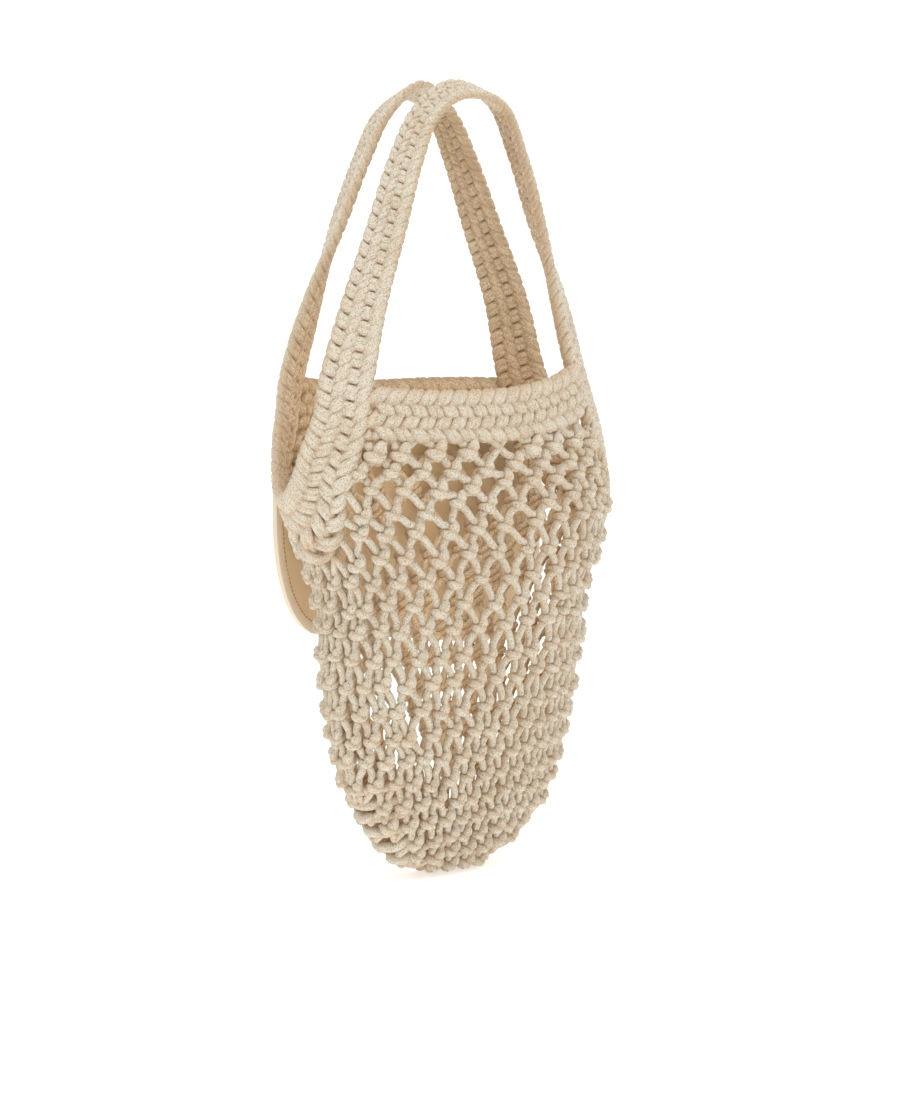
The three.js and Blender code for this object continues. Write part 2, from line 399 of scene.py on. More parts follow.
@dataclass(frozen=True)
class CottonFinish:
    """Soft undyed cotton: cream, with a lengthwise grain and flecks. Painted shade turns it tan in creases
    and crevices, and painted warm bounce light turns it a lighter tan on sides that face into the bag.
    """

    name: str
    light: Colour = (0.79, 0.73, 0.60)
    # Painted shade: the deep tone is reached partly through the grain's random tone and partly through the
    # painted shade value that each point holds.
    deep: Colour = (0.66, 0.50, 0.33)
    # Painted light: the inside tone and its darker partner are a painted warm bounce light, lit and shaded,
    # on sides that face into the bag.
    inside: Colour = (0.88, 0.70, 0.48)
    painted_bounce_deep: Colour = (0.50, 0.33, 0.175)
    fleck: Colour = (0.40, 0.33, 0.245)
    roughness: float = 0.92
    specular: float = 0.2
    sheen: float = 0.25
    sheen_roughness: float = 0.5
    grain_along: float = 130.0
    grain_across: float = 1500.0
    grain_detail: float = 3.0
    grain_strength: float = 0.8
    grain_depth: float = 0.0005
    stipple: float = 1050.0
    patches: float = 45.0
    patch_depth: float = 0.6
    # How far the painted shade darkens the tone.
    painted_shade_depth: float = 0.5
    tone_span: Span = (0.75, 1.6)
    tone_stops: Span = (0.12, 0.8)
    spots: float = 1250.0
    spot_detail: float = 1.0
    spot_stops: Span = (0.5, 0.7)

    def material(self) -> bpy.types.Material:
        """Builds the material, whose grain follows each cord's own length and girth map.

        Returns:
            The new material.
        """
        surface = Surface(self.name, {
            "Roughness": self.roughness,
            "Specular IOR Level": self.specular,
            "Sheen Weight": self.sheen,
            "Sheen Roughness": self.sheen_roughness,
        })
        scale = (self.grain_along, self.grain_across, 1.0)
        stretch = surface.node("Mapping", {"Vector": surface.place["UV"], "Scale": scale})
        grain = surface.noise(1.0, self.grain_detail, stretch.outputs["Vector"])
        relief = surface.work_out("ADD", grain, surface.noise(self.stipple))
        patches = surface.noise(self.patches)
        patched = surface.work_out("MULTIPLY_ADD", patches, self.patch_depth, relief)
        # Painted shade: each point's painted shade value lowers the tone towards the deep colour in
        # creases, flanks and crevices.
        sunk = surface.work_out("MULTIPLY_ADD", surface.attribute("painted_shade"), -self.painted_shade_depth, patched)
        tone = surface.spread(sunk, self.tone_span)
        outer = surface.ramp(tone, self.tone_stops, self.deep, self.light)
        # Painted light: the warm bounce tone is mixed in by each point's inside value, on sides that face
        # into the bag.
        inner = surface.ramp(tone, self.tone_stops, self.painted_bounce_deep, self.inside)
        with_painted_bounce = surface.mix(surface.attribute("inside"), outer, inner)
        spots = surface.noise(self.spots, self.spot_detail)
        sparse = surface.ramp(spots, self.spot_stops, BLACK, WHITE)
        flecked = surface.mix(sparse, with_painted_bounce, (*self.fleck, 1.0))
        return surface.finish(flecked, relief, self.grain_strength, self.grain_depth)


@dataclass(frozen=True)
class LeatherFinish:
    """Smooth vegetable-tanned leather with a fine pore grain and a paler edge."""

    name: str
    face: Colour = (0.68, 0.44, 0.235)
    deep: Colour = (0.59, 0.36, 0.175)
    edge: Colour = (0.84, 0.70, 0.53)
    edge_from: float = 0.0008
    edge_reach: float = 0.0035
    specular: float = 0.45
    clouds: float = 22.0
    cloud_detail: float = 5.0
    cloud_stops: Span = (0.3, 0.65)
    roughness: Span = (0.42, 0.6)
    pore: float = 900.0
    pore_strength: float = 0.25
    pore_depth: float = 0.0003

    def material(self) -> bpy.types.Material:
        """Builds the material, which reads each place's distance from the panel's edge.

        Returns:
            The new material.
        """
        surface = Surface(self.name, {"Specular IOR Level": self.specular})
        clouds = surface.noise(self.clouds, self.cloud_detail)
        tones = surface.ramp(clouds, self.cloud_stops, self.deep, self.face)
        # The paler band along the edge: on the outer face it is the leather's own edge colour; on the inner
        # face, where it reaches further, it is painted light.
        border = self.edge_from, self.edge_reach
        pale_edge_and_painted_light = surface.spread(surface.attribute("from_edge"), border, WHOLE[::-1])
        surface.feed(surface.shader, {"Roughness": surface.spread(clouds, to=self.roughness)})
        pores = surface.node("TexVoronoi", {"Vector": surface.place["Object"], "Scale": self.pore})
        edged = surface.mix(pale_edge_and_painted_light, tones, (*self.edge, 1.0))
        return surface.finish(edged, pores.outputs["Distance"], self.pore_strength, self.pore_depth)


@dataclass(frozen=True)
class PlainFinish:
    """A matt finish with a faint mottle, for thread and the studio floor."""

    name: str
    colour: Colour
    shade: float = 0.9
    mottle: float = 8.0
    roughness: float = 0.8
    glow: float = 0.0

    def material(self) -> bpy.types.Material:
        """Builds the material.

        Returns:
            The new material.
        """
        surface = Surface(self.name, {
            "Roughness": self.roughness,
            "Emission Color": (*WHITE, 1.0),
            "Emission Strength": self.glow,
        })
        shaded = tuple(self.shade * c for c in self.colour)
        return surface.finish(surface.ramp(surface.noise(self.mottle), WHOLE, shaded, self.colour))


COTTON = CottonFinish("undyed_cotton")
LEATHER = LeatherFinish("tan_leather")
# The inner face: its colours are partly the flesh side's own paler tan and partly painted light, brightened
# to make up for light that the bag keeps off it; its wide pale band along the edge is painted light.
LEATHER_INSIDE_PAINTED_LIGHT = LeatherFinish(
    "tan_leather_inside_with_painted_light",
    face=(0.97, 0.78, 0.53),
    deep=(0.92, 0.71, 0.46),
    edge=(0.98, 0.88, 0.72),
    edge_reach=0.0075,
)
THREAD = PlainFinish("waxed_thread", (0.60, 0.39, 0.21), mottle=300.0)
FLOOR = PlainFinish("studio_white", (0.93, 0.93, 0.93), shade=0.985, mottle=0.6, glow=0.45)


@dataclass
class CordMesh:
    """Tubes gathered into one mesh, with a map of each tube's length and girth.

    A tube adds three lots of points: its wall and its two ends.
    """

    lots: ClassVar[int] = 3
    tip_reach: ClassVar[float] = 0.55
    tip_size: ClassVar[float] = 0.45
    map_gap: ClassVar[float] = 0.037
    sides: int = 8
    points: list[np.ndarray] = field(default_factory=list)
    quads: list[np.ndarray] = field(default_factory=list)
    quad_maps: list[np.ndarray] = field(default_factory=list)
    caps: list[np.ndarray] = field(default_factory=list)
    painted_shades: list[np.ndarray] = field(default_factory=list)
    painted_bounces: list[np.ndarray] = field(default_factory=list)
    lines: list[tuple[np.ndarray, np.ndarray]] = field(default_factory=list)
    count: int = 0
    drawn: float = 0.0

    def add(
        self,
        centres: np.ndarray,
        across: np.ndarray,
        out: np.ndarray,
        half_width: np.ndarray | float,
        half_depth: np.ndarray | float,
        ends: Ends = Ends.ROUND,
        painted_shade: np.ndarray | float = 0.0,
        inside: np.ndarray | float = 0.0,
    ) -> None:
        """Adds one tube.

        Args:
            centres: The tube's middle line.
            across: Unit directions across the tube, in its flat.
            out: Unit directions out of its flat.
            half_width: Half its width along across.
            half_depth: Half its depth along out.
            ends: How its ends are closed.
            painted_shade: How much painted shade each point takes, 0 to 1, by ring and side.
            inside: How far each point faces into the bag, 0 to 1, by ring and side, which is how much
                painted warm bounce light it takes.
        """
        n = len(centres)
        painted_shade, inside = (np.broadcast_to(v, (n, self.sides)).astype(float) for v in (painted_shade, inside))
        half_width = np.broadcast_to(half_width, n).astype(float)
        half_depth = np.broadcast_to(half_depth, n).astype(float)
        if ends is Ends.ROUND:
            run = runs_of(centres)
            tip = self.tip_reach * half_depth[[0, -1], None]
            centres = np.vstack([centres[0] - run[0] * tip[0], centres, centres[-1] + run[-1] * tip[1]])
            across, out = (np.vstack([v[0], v, v[-1]]) for v in (across, out))
            half_width, half_depth = (
                np.r_[self.tip_size * v[0], v, self.tip_size * v[-1]] for v in (half_width, half_depth)
            )
            painted_shade, inside = (np.vstack([v[0], v, v[-1]]) for v in (painted_shade, inside))
            n += 2
        turn = np.arange(self.sides) * TURN / self.sides
        wide, deep = np.cos(turn), np.sin(turn)
        rings = (
            centres[:, None]
            + (half_width[:, None] * wide)[..., None] * across[:, None]
            + (half_depth[:, None] * deep)[..., None] * out[:, None]
        )
        index = self.count + np.arange(n * self.sides).reshape(n, self.sides)
        beside = np.roll(index, -1, axis=1)
        self.quads.append(
            np.stack([index[:-1], beside[:-1], beside[1:], index[1:]], -1).reshape(-1, 4)
        )
        along = self.drawn + np.r_[0, np.cumsum(np.linalg.norm(np.diff(centres, axis=0), axis=1))]
        girth = TURN * np.sqrt(half_width * half_depth).mean() * np.arange(self.sides + 1) / self.sides
        u, v = np.meshgrid(along, girth, indexing="ij")
        grid = np.stack([u, v], -1)
        corners = (grid[:-1, :-1], grid[:-1, 1:], grid[1:, 1:], grid[1:, :-1])
        self.quad_maps.append(np.stack(corners, 2).reshape(-1, 2))
        self.drawn = along[-1] + self.map_gap
        self.lines.append((centres, half_depth))
        self.points.append(rings.reshape(-1, 3))
        self.painted_shades.append(painted_shade.ravel())
        self.painted_bounces.append(inside.ravel())
        self.count += n * self.sides
        for end, order in ((0, slice(None, None, -1)), (-1, slice(None))):
            self.points.append(rings[end])
            self.painted_shades.append(painted_shade[end])
            self.painted_bounces.append(inside[end])
            self.caps.append((self.count + np.arange(self.sides))[order])
            self.count += self.sides

    def build(self, name: str, finish: bpy.types.Material) -> bpy.types.Object:
        """Makes the mesh object.

        Args:
            name: The piece's name.
            finish: Its material.

        Returns:
            The new object, at the origin.
        """
        quads, caps = np.vstack(self.quads), np.array(self.caps)
        loops = np.r_[quads.ravel(), caps.ravel()]
        starts = np.r_[4 * np.arange(len(quads)), quads.size + self.sides * np.arange(len(caps))]
        maps = np.vstack([*self.quad_maps, np.zeros((caps.size, 2))])
        mesh = bpy.data.meshes.new(name)
        mesh.vertices.add(self.count)
        mesh.vertices.foreach_set("co", np.vstack(self.points).ravel())
        mesh.loops.add(len(loops))
        mesh.loops.foreach_set("vertex_index", loops.astype(np.int32))
        mesh.polygons.add(len(starts))
        mesh.polygons.foreach_set("loop_start", starts.astype(np.int32))
        mesh.polygons.foreach_set("use_smooth", np.ones(len(starts), bool))
        mesh.uv_layers.new(name="length_and_girth").data.foreach_set("uv", maps.ravel())
        for tone, values in (("painted_shade", self.painted_shades), ("inside", self.painted_bounces)):
            mesh.attributes.new(tone, "FLOAT", "POINT").data.foreach_set("value", np.concatenate(values))
        mesh.update(calc_edges=True)
        mesh.validate()
        mesh.materials.append(finish)
        piece = bpy.data.objects.new(name, mesh)
        bpy.context.scene.collection.objects.link(piece)
        return piece


def paint_crease_shade(meshes: list[CordMesh], reach: float, apart: int = 4) -> None:
    """Paints shade where a round cord lies against another, or against its own later turns.

    Args:
        meshes: The meshes whose tubes lie together.
        reach: The gap between cords at which the painted shade starts, in metres.
        apart: How many rings along a tube count as its own next stretch.
    """
    lines = [line for mesh in meshes for line in mesh.lines]
    tube = np.concatenate([np.full(len(centres), i) for i, (centres, _) in enumerate(lines)])
    ring = np.concatenate([np.arange(len(centres)) for centres, _ in lines])
    radius = np.concatenate([radii for _, radii in lines])
    tree = KDTree(len(tube))
    for i, centre in enumerate(np.vstack([centres for centres, _ in lines])):
        tree.insert(centre, i)
    tree.balance()
    search = float(radius.max()) + reach
    first = 0
    for mesh in meshes:
        for k, (centres, _) in enumerate(mesh.lines):
            rings, tones = mesh.points[mesh.lots * k], mesh.painted_shades[mesh.lots * k]
            for j, point in enumerate(rings):
                own = first + j // mesh.sides
                for _, i, distance in tree.find_range(point, search):
                    if tube[i] != tube[own] or abs(ring[i] - ring[own]) > apart:
                        tones[j] = max(tones[j], min(1.0, 1.0 - (distance - radius[i]) / reach))
            first += len(centres)


def dress(piece: bpy.types.Object, node: str) -> bpy.types.Object:
    """Fixes a piece to the bag's body, in place of a solid, which it hides.

    Args:
        piece: The piece.
        node: The solid that it takes the place of.

    Returns:
        The same piece.
    """
    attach(piece, BODY)
    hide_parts(node)
    LOG.info("%s: %d faces, in place of %s", piece.name, len(piece.data.polygons), node)
    return piece


@dataclass(frozen=True)
class BodyForm:
    """The soft body's outer form, as level sections from the mouth down."""

    sections: tuple[Section, ...] = (
        Section(-168, 114.5, 53, -1, 0),
        Section(-206, 125.5, 55, 4, 0),
        Section(-240, 133, 56, 7, -1),
        Section(-264, 123, 55, 12, -2),
        Section(-290, 111, 53, 13, -3),
        Section(-315, 102, 50, 11, -4),
        Section(-350, 100, 45, 10, -4),
        Section(-404, 91, 36, 9, -4),
        Section(-441, 79, 27, 10, -4),
        Section(-472, 59, 16, 9, -4),
        Section(-486, 35, 9, 5, -4),
    )
    step_angle: float = 0.01
    step_z: float = 1.5

    def sizes(self, z: np.ndarray) -> np.ndarray:
        """Gives half width, half depth and both shifts at heights, in millimetres."""
        return table_at(np.array(self.sections, float), z)

    def point(self, angle: np.ndarray, z: np.ndarray, offset: float = 0.0) -> np.ndarray:
        """Gives points of the form in metres.

        Args:
            angle: Angles round the body, from +X towards +Y.
            z: Heights in millimetres.
            offset: How far outside the form, in millimetres.

        Returns:
            A row for each point.
        """
        angle, z = np.broadcast_arrays(np.asarray(angle, float), np.asarray(z, float))
        wide, deep, shift_x, shift_y = np.moveaxis(self.sizes(z), -1, 0)
        x = (wide + offset) * np.cos(angle) + shift_x
        y = (deep + offset) * np.sin(angle) + shift_y
        return MM * np.stack([x, y, z], -1)

    def axes(self, angle: np.ndarray, z: np.ndarray) -> tuple[np.ndarray, np.ndarray, np.ndarray]:
        """Gives the level, upward and outward directions of the form at places on it.

        Args:
            angle: Angles round the body, from +X towards +Y.
            z: Heights in millimetres.

        Returns:
            Three unit vectors for each place, square to one another.
        """
        level = unit(self.point(angle + self.step_angle, z) - self.point(angle - self.step_angle, z))
        rise = self.point(angle, z + self.step_z) - self.point(angle, z - self.step_z)
        out = unit(np.cross(level, rise))
        return level, np.cross(out, level), out

    def level_normal(self, angle: np.ndarray, z: np.ndarray) -> np.ndarray:
        """Gives the outward direction within the level section.

        Args:
            angle: Angles round the body, from +X towards +Y.
            z: Heights in millimetres.

        Returns:
            A unit vector for each place.
        """
        wide, deep = np.moveaxis(self.sizes(np.asarray(z, float)), -1, 0)[:2]
        flat = np.stack([np.cos(angle) / wide, np.sin(angle) / deep, np.zeros_like(wide)], -1)
        return unit(flat)


FORM = BodyForm()


def angle_from_side(degrees: np.ndarray, side: float, face: float) -> np.ndarray:
    """Gives the angle round the body that lies some degrees from a side, on one face."""
    turn = np.radians(degrees)
    return np.arctan2(face * np.sin(turn), side * np.cos(turn))


@dataclass(frozen=True)
class Braid:
    """A flat plain braid of five strands, each a pair of cords, over one and under one.

    Shares are of the band's width, the pair's gap is in periods, and heights are in millimetres.
    """

    strands: int = 5
    period_share: float = 1.63
    half_width_share: float = 0.09
    half_depth_share: float = 0.079
    lift_share: float = 0.070
    reach: float = 1.08
    edge: float = 0.86
    edge_round: int = 6
    widest: float = 31.0
    steps: int = 34
    sides: int = 10
    pair_gap: float = 0.036
    # Painted light: the next fields paint warm bounce light on faces turned into the bag below a height,
    # painted shade on those faces near the arches, and painted shade in the crevices between strands,
    # darkest where a strand lies lowest.
    painted_bounce_share: float = 0.9
    inner_from: float = 6.0
    inner_reach: float = 12.0
    open_above: float = -40.0
    open_reach: float = 110.0
    open_shade: float = 0.65
    crease_shade_base: float = 1.55
    crease_shade_fall: float = 1.75
    turns: tuple[float, ...] = (-0.1, 0.1, 0.2, 0.3, 0.4, 0.6, 0.7, 0.8, 0.9, 1.1)

    def wave(self, phase: np.ndarray) -> tuple[np.ndarray, np.ndarray]:
        """Gives a strand's place across the band and its lift, each from -1 to 1.

        Args:
            phase: How far along the braid the strand is, in periods.

        Returns:
            The place across and the lift, for each phase.
        """
        phase = phase % 1.0
        across = self.reach * (1.0 - 4.0 * np.abs(phase - 0.5))
        bend = np.abs(across / self.edge) ** self.edge_round
        across = across / (1.0 + bend) ** (1 / self.edge_round)
        turns = np.array(self.turns)
        i = np.clip(np.searchsorted(turns, phase, side="right") - 1, 0, len(turns) - 2)
        share = (phase - turns[i]) / (turns[i + 1] - turns[i])
        return across, np.where(i % 2, -1.0, 1.0) * np.cos(math.pi * share)

    def phases(self, band: Band) -> np.ndarray:
        """Counts the braid's periods at each step of a band, longer where it is wider.

        Args:
            band: The band.

        Returns:
            The count at each step, from 0.
        """
        middle = (band.edge_a + band.edge_b) / 2
        width = np.linalg.norm(band.edge_b - band.edge_a, axis=1)
        width = np.minimum(width, MM * self.widest)
        steps = np.linalg.norm(np.diff(middle, axis=0), axis=1)
        return np.r_[0, np.cumsum(steps / (self.period_share * (width[1:] + width[:-1]) / 2))]

    def places(self, first: float, last: float) -> np.ndarray:
        """Gives the counts at which the strands of a stretch are drawn."""
        return np.linspace(first, last, int((last - first) * self.steps) + 1)

    def weave(self, mesh: CordMesh, band: Band, counts: np.ndarray, at: np.ndarray,
              slant: np.ndarray | float = 0.0) -> None:
        """Adds the strands of a stretch of band to a mesh.

        Args:
            mesh: The mesh that takes the strands.
            band: The whole band.
            counts: Its count of periods.
            at: The counts of the stretch.
            slant: How far the braid's second edge runs ahead of its middle, in periods.
        """
        turn = np.sin(np.arange(mesh.sides) * TURN / mesh.sides)
        inward = np.clip(-turn, 0.0, 1.0)
        for k, ahead in itertools.product(range(self.strands), (-self.pair_gap, self.pair_gap)):
            across, lift = self.wave(at + k / self.strands)
            step = np.interp(at + ahead + slant * across, counts, np.arange(len(counts)))
            edge_a, edge_b, normal = (read_rows(rows, step) for rows in band)
            normal = unit(normal)
            width = np.minimum(np.linalg.norm(edge_b - edge_a, axis=1), MM * self.widest)
            share = (across[:, None] + 1) / 2
            line = edge_a * (1 - share) + edge_b * share
            line = line + normal * (self.lift_share * width * lift)[:, None]
            run = runs_of(line)
            out = square_to(normal, run)
            height = np.abs(self.lift_share * lift[:, None] + self.half_depth_share * turn)
            rise = height / (self.lift_share + self.half_depth_share)
            z = line[:, 2:] / MM
            # Painted light: inward faces low on the strap take painted warm bounce light; near the arches
            # they also take painted shade, and every strand takes painted shade in its crevices.
            under = np.clip((self.inner_from - z) / self.inner_reach, 0.0, 1.0) * inward
            in_air = np.clip(1.0 + (z - self.open_above) / self.open_reach, 0.0, 1.0)
            painted_shade = self.crease_shade_base - self.crease_shade_fall * rise + self.open_shade * in_air * under
            mesh.add(
                line,
                np.cross(run, out),
                out,
                self.half_width_share * width,
                self.half_depth_share * width,
                Ends.FLAT,
                np.clip(painted_shade, 0.0, 1.0),
                self.painted_bounce_share * under,
            )


@dataclass(frozen=True)
class Straps:
    """The two handles, one closed loop of braid through the V at each side."""

    stations: tuple[Station, ...] = (
        Station(0, 22, 10, 0, 0, 23, 0, 66),
        Station(29, 24, -5, 5, 6, 23.5, 74, 22),
        Station(46, 25, -34, 5, 3, 25.5, 71, 8),
        Station(62, 26, -75, 2.5, 0, 27.5, 65, 0),
        Station(81, 26, -125, 0, 0, 29, 41, 0),
    )
    ribs: tuple[StrapRib, ...] = (
        StrapRib(19, -166, 45, -178),
        StrapRib(17.5, -186, 43, -206),
        StrapRib(12, -206, 37, -238),
        StrapRib(8, -222, 29, -262),
        StrapRib(4, -231, 17, -279),
        StrapRib(0, -234, 0, -285),
    )
    braid: Braid = Braid()
    steps_per_rib: int = 40
    leg_slant: float = 0.14
    seam_slant: float = 0.2
    seam_share: float = 0.07
    overlap: float = 0.06

    def centre(self, station: Station, side: Side, face: Face) -> np.ndarray:
        """Gives a station's centre on one leg of one handle, in metres.

        Args:
            station: The station.
            side: The leg's side.
            face: The handle's face.

        Returns:
            The centre's point.
        """
        x = station.x - (station.drawn_in if face is Face.BACK else 0.0)
        z = station.z + (station.raised if (side, face) == (Side.RIGHT, Face.FRONT) else 0.0)
        return MM * np.array([side.value * x, face.value * station.y, z])

    def half(self, side: Side, face: Face) -> np.ndarray:
        """Gives the ribs of half a strap, apex to side: open edge, net edge and normal.

        Args:
            side: The leg's side.
            face: The handle's face.

        Returns:
            Three vectors for each rib.
        """
        s, f = side.value, face.value
        lower = []
        for rib in self.ribs:
            angles = [angle_from_side(a, s, f) for a in (rib.open_angle, rib.net_angle)]
            middle = angle_from_side((rib.open_angle + rib.net_angle) / 2, s, f)
            edges = [FORM.point(a, z) for a, z in zip(angles, (rib.open_z, rib.net_z))]
            lower.append([*edges, FORM.level_normal(middle, (rib.open_z + rib.net_z) / 2)])
        centres = [self.centre(station, side, face) for station in self.stations]
        before = self.centre(self.stations[1], Side(-s), face)
        line = [before, *centres, (lower[0][0] + lower[0][1]) / 2]
        upper = []
        for i, station in enumerate(self.stations):
            run = unit(line[i + 2] - line[i])
            facing, lift = math.radians(station.facing), math.radians(station.lift)
            normal = np.array([
                s * math.sin(facing) * math.cos(lift),
                f * math.cos(facing) * math.cos(lift),
                math.sin(lift),
            ])
            normal = square_to(normal, run)
            across = np.cross(run, normal) * (s * f * station.width * MM / 2)
            upper.append([centres[i] + across, centres[i] - across, normal])
        return np.array(upper + lower)

    def loop(self) -> Band:
        """Gives the closed loop from the left side over the front, with a rib more at each end.

        Returns:
            The loop, as one band.
        """
        front_left, front_right = self.half(Side.LEFT, Face.FRONT), self.half(Side.RIGHT, Face.FRONT)
        back_left, back_right = self.half(Side.LEFT, Face.BACK), self.half(Side.RIGHT, Face.BACK)
        ribs = np.vstack([front_left[::-1], front_right[1:], back_right[-2::-1], back_left[1:-1]])
        at = np.arange(-self.steps_per_rib, (len(ribs) + 1) * self.steps_per_rib + 1) / self.steps_per_rib
        rows = [spline(ribs[:, k], at, closed=True) for k in range(3)]
        return Band(rows[0], rows[1], unit(rows[2]))

    def slant(self, share: np.ndarray) -> np.ndarray:
        """Gives the braid's slant along a strap, which is pulled aside on its legs and near the Vs."""
        near = [s / self.seam_share * np.exp(1.0 - s / self.seam_share) for s in (share, 1.0 - share)]
        return self.leg_slant * np.sin(TURN * share) + self.seam_slant * (near[0] - near[1])

    def build(self, finish: bpy.types.Material) -> None:
        """Makes the two straps from the loop, which overlap a little where they meet at the sides.

        Args:
            finish: The cotton's material.
        """
        band = self.loop()
        counts = self.braid.phases(band)
        counts = counts - counts[self.steps_per_rib]
        lap = counts[-1 - self.steps_per_rib]
        counts = counts * (round(lap) / lap)
        half = round(lap) / 2
        for node, first in (("front_strap", 0.0), ("back_strap", half)):
            at = self.braid.places(first - self.overlap, first + half + self.overlap)
            slant = self.slant(np.clip((at - first) / half, 0.0, 1.0))
            mesh = CordMesh(self.braid.sides)
            self.braid.weave(mesh, band, counts, at, slant)
            dress(mesh.build(f"{node}_braid", finish), node)


@dataclass(frozen=True)
class RimBands:
    """The flat braids along the mouth, whose left and right ends rise or sink by their own amounts."""

    top_z: float = -175.0
    low_z: float = -209.0
    front_rises: Span = (5.0, 11.0)
    back_rises: Span = (7.0, -2.0)
    top_end: float = 45.6
    low_end: float = 44.5
    rise_degrees: float = 45.0
    tuck: float = 1.05
    steps: int = 220
    # The rim's strands take more painted crease shade, which darkens the whole band.
    braid: Braid = Braid(period_share=1.62, widest=36.0, crease_shade_base=1.8)

    def edge(self, middle_z: float, angle: np.ndarray) -> np.ndarray:
        """Gives an edge's height at angles round the body, in millimetres.

        Args:
            middle_z: The edge's height in the middle of a face.
            angle: Angles round the body, from +X towards +Y.

        Returns:
            A height for each angle.
        """
        left, right = np.where(np.sin(angle)[..., None] < 0, self.front_rises, self.back_rises).T
        from_middle = np.degrees(np.arcsin(np.abs(np.cos(angle))))
        return middle_z + np.where(np.cos(angle) < 0, left, right) * (from_middle / self.rise_degrees) ** 2

    def band(self, face: Face) -> Band:
        """Gives one rim band, left to right.

        Args:
            face: The face that it lies on.

        Returns:
            The band, its top edge first.
        """
        share = np.linspace(-self.tuck, self.tuck, self.steps)
        side = np.where(share < 0, -1.0, 1.0)
        edges, turned = [], []
        for end, middle_z in ((self.top_end, self.top_z), (self.low_end, self.low_z)):
            degrees = 90.0 - np.abs(share) * (90.0 - end)
            turned.append(degrees)
            angle = angle_from_side(degrees, side, face.value)
            edges.append(FORM.point(angle, self.edge(middle_z, angle)))
        angle = angle_from_side((turned[0] + turned[1]) / 2, side, face.value)
        normal = FORM.level_normal(angle, (edges[0][:, 2] + edges[1][:, 2]) / (2 * MM))
        return Band(edges[0], edges[1], normal)

    def build(self, finish: bpy.types.Material) -> None:
        """Makes both rim bands.

        Args:
            finish: The cotton's material.
        """
        for face in Face:
            band = self.band(face)
            counts = self.braid.phases(band)
            mesh = CordMesh(self.braid.sides)
            at = self.braid.places(self.braid.pair_gap, counts[-1] - self.braid.pair_gap)
            self.braid.weave(mesh, band, counts, at)
            node = f"{face.name.lower()}_rim_band"
            dress(mesh.build(f"{node}_braid", finish), node)


